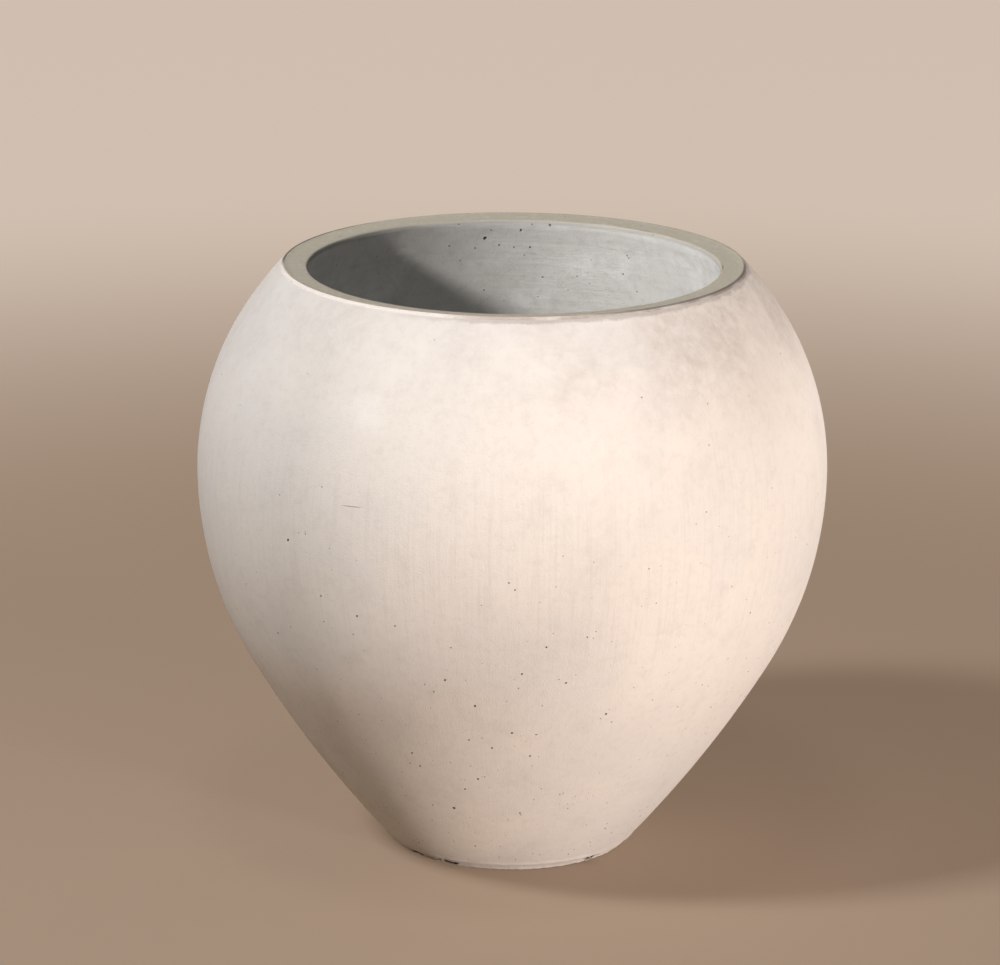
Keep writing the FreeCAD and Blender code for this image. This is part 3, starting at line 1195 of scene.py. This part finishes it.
@dataclass
class FloorSlab:
    """Floor cast in the narrow end, dished a little towards the drain."""

    wall: Wall
    hole_radius: float
    thickness: float
    steps: int = 192
    fall: float = 0.0012
    seat_step: float = 0.005
    face_step: float = 0.0025
    seat_margin: float = 0.002
    lumps: Lumps = Lumps(0.0009, 0.012)

    def section(self) -> Section:
        """Section of the slab, close-spaced on top and underneath."""
        outline, depth = self.wall.outline, self.wall.inside
        seat = outline.line(depth, levels(0.0, self.thickness, self.seat_step))
        outer, inner = seat[-1][0], self.hole_radius
        top = []
        for radius in levels(outer, inner, self.face_step)[1:]:
            share = (outer - radius) / (outer - inner)
            top.append((radius, self.thickness - self.fall * share))
        under = [(radius, 0.0) for radius in levels(inner, seat[0][0], self.face_step)[:-1]]
        return seat + top + under

    def build(self) -> bpy.types.Object:
        """Models the slab.

        Returns:
            The finished slab.
        """
        slab = Bench.spun("floor_slab_dressed", self.section(), self.steps)
        edge = self.wall.outline.radius(self.wall.inside, 0.0)
        open_face = Bench.weigh(slab, "open", lambda p: float(p.xy.length < edge - self.seat_margin))
        Bench.roughen(slab, self.lumps, open_face)
        finish = GreyFinish("floor_concrete", body=tone(158, 155, 149), pale=tone(180, 178, 173),
                            dark=tone(128, 125, 119), rim_level=1.0)
        slab.data.materials.append(finish.build())
        Bench.smooth(slab, CONCRETE_CREASE)
        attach(slab, BODY)
        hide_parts("floor_slab")
        return slab


@dataclass
class DrainSleeve:
    """Offcut of plastic pipe in the floor, with its sawn ends eased."""

    radius: float
    length: float
    thickness: float = 0.0018
    ease: float = 0.0004
    ease_angle: float = 60.0
    sides: int = 64
    crease: float = 40.0

    def build(self) -> bpy.types.Object:
        """Models the sleeve from an open tube.

        Returns:
            The finished sleeve.
        """
        Bench.clear()
        bpy.ops.mesh.primitive_cylinder_add(vertices=self.sides, radius=self.radius, depth=self.length,
                                            end_fill_type="NOTHING", location=(0, 0, self.length / 2))
        sleeve = bpy.context.object
        sleeve.name = sleeve.data.name = "drain_sleeve_dressed"
        bpy.ops.object.transform_apply(location=True)
        Bench.modify(sleeve, "SOLIDIFY", thickness=self.thickness, offset=-1.0, use_even_offset=True)
        Bench.modify(sleeve, "BEVEL", width=self.ease, segments=2, limit_method="ANGLE",
                     angle_limit=math.radians(self.ease_angle))
        sleeve.data.materials.append(PipeFinish().build())
        Bench.smooth(sleeve, self.crease)
        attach(sleeve, BODY)
        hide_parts("drain_sleeve")
        return sleeve


@dataclass
class HiddenCore:
    """Backing coat and wire cage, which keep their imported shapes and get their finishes."""

    nodes: Mapping[str, bpy.types.Object]

    def dress(self) -> Iterator[bpy.types.Object]:
        """Gives each hidden piece its finish.

        Returns:
            The pieces, one after another.
        """
        backing = GreyFinish("backing_concrete", body=tone(150, 147, 141), pale=tone(168, 166, 160),
                             dark=tone(124, 121, 115), rim_level=1.0).build()
        wire = WireFinish().build()
        for name, node in self.nodes.items():
            if name == "backing_coat" or name.endswith("_hoop") or name.startswith("upright_wire_"):
                node.data.materials.clear()
                node.data.materials.append(backing if name == "backing_coat" else wire)
                yield node


@dataclass(frozen=True)
class Lamp:
    """Soft square lamp that looks at the pot from a side and a height."""

    name: str
    azimuth: float
    elevation: float
    distance: float
    side: float
    watts: float
    colour: Colour
    inside_only: bool = False

    def build(self, goal: Vector, inside: bpy.types.Collection) -> None:
        """Makes the lamp and aims it.

        Args:
            goal: The point that it looks at.
            inside: The pieces that a lamp for the inside lights.
        """
        data = bpy.data.lights.new(self.name, "AREA")
        data.shape = "SQUARE"
        data.size = self.side
        data.energy = self.watts
        data.color = self.colour[:3]
        lamp = bpy.data.objects.new(self.name, data)
        turn, lift = math.radians(self.azimuth), math.radians(self.elevation)
        way = Vector((math.cos(turn) * math.cos(lift), math.sin(turn) * math.cos(lift), math.sin(lift)))
        lamp.location = goal + way * self.distance
        lamp.rotation_euler = (-way).to_track_quat("-Z", "Y").to_euler()
        bpy.context.scene.collection.objects.link(lamp)
        if self.inside_only:
            lamp.light_linking.receiver_collection = inside


@dataclass
class Studio:
    """Plain floor, five soft lamps and a faint even sky."""

    camera: PhotoCamera
    inside: Sequence[bpy.types.Object]
    floor_side: float = 24.0
    floor_gap: float = 0.0002
    goal: tuple[float, float, float] = (0.0, 0.0, 0.2)
    sky: Colour = tone(236, 238, 242)
    sky_strength: float = 0.06
    lamps: tuple[Lamp, ...] = (
        Lamp("right_lamp", -47.0, 0.0, 2.7, 0.35, 67.0, tone(255, 245, 240)),
        Lamp("left_lamp", -150.0, 50.0, 2.7, 0.4, 58.0, tone(250, 252, 255)),
        Lamp("top_lamp", -100.0, 75.0, 2.7, 0.5, 7.0, tone(255, 250, 248)),
        Lamp("far_lamp", 48.0, 0.0, 2.7, 0.3, 20.0, tone(255, 245, 238)),
        Lamp("inside_lamp", -132.0, 22.0, 2.7, 0.25, 67.0, tone(255, 251, 248), True),
    )

    def build(self) -> None:
        """Makes the floor, the light and the camera."""
        Bench.clear()
        bpy.ops.mesh.primitive_plane_add(size=self.floor_side)
        floor = bpy.context.object
        floor.location.z = -self.floor_gap
        floor.name = floor.data.name = "studio_floor"
        floor.data.materials.append(GroundFinish().build())
        floor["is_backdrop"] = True
        inside = bpy.data.collections.new("inside")
        for piece in self.inside:
            inside.objects.link(piece)
        for lamp in self.lamps:
            lamp.build(Vector(self.goal), inside)
        world = bpy.data.worlds.new("studio_sky")
        world.use_nodes = True
        sky = world.node_tree.nodes["Background"]
        sky.inputs["Color"].default_value = self.sky
        sky.inputs["Strength"].default_value = self.sky_strength
        scene = bpy.context.scene
        scene.world = world
        scene.view_settings.view_transform = "Standard"
        self.camera.build()


def write_sizes() -> None:
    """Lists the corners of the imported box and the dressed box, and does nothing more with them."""
    boxes = {"cad": CAD_BOX, "visual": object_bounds()}
    {name: [list(corner) for corner in box] for name, box in boxes.items()}


def main() -> None:
    """Builds the pot and the studio, piece by piece."""
    logging.basicConfig(level=logging.INFO, format="%(name)s: %(message)s")
    wall, camera = Wall(), PhotoCamera()
    sleeve_box, slab_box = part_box("drain_sleeve"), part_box("floor_slab")
    pieces = [
        FaceCoat(wall, camera).build(),
        InnerCoat(wall, camera).build(),
        FloorSlab(wall, sleeve_box[1].x, slab_box[1].z).build(),
        DrainSleeve(sleeve_box[1].x, sleeve_box[1].z).build(),
        *HiddenCore(frame["nodes"]).dress(),
    ]
    for piece in pieces:
        LOG.info("%s: %d faces", piece.name, len(piece.data.polygons))
    Studio(camera, pieces[1:4]).build()
    write_sizes()


if __name__ == "__main__":
    main()
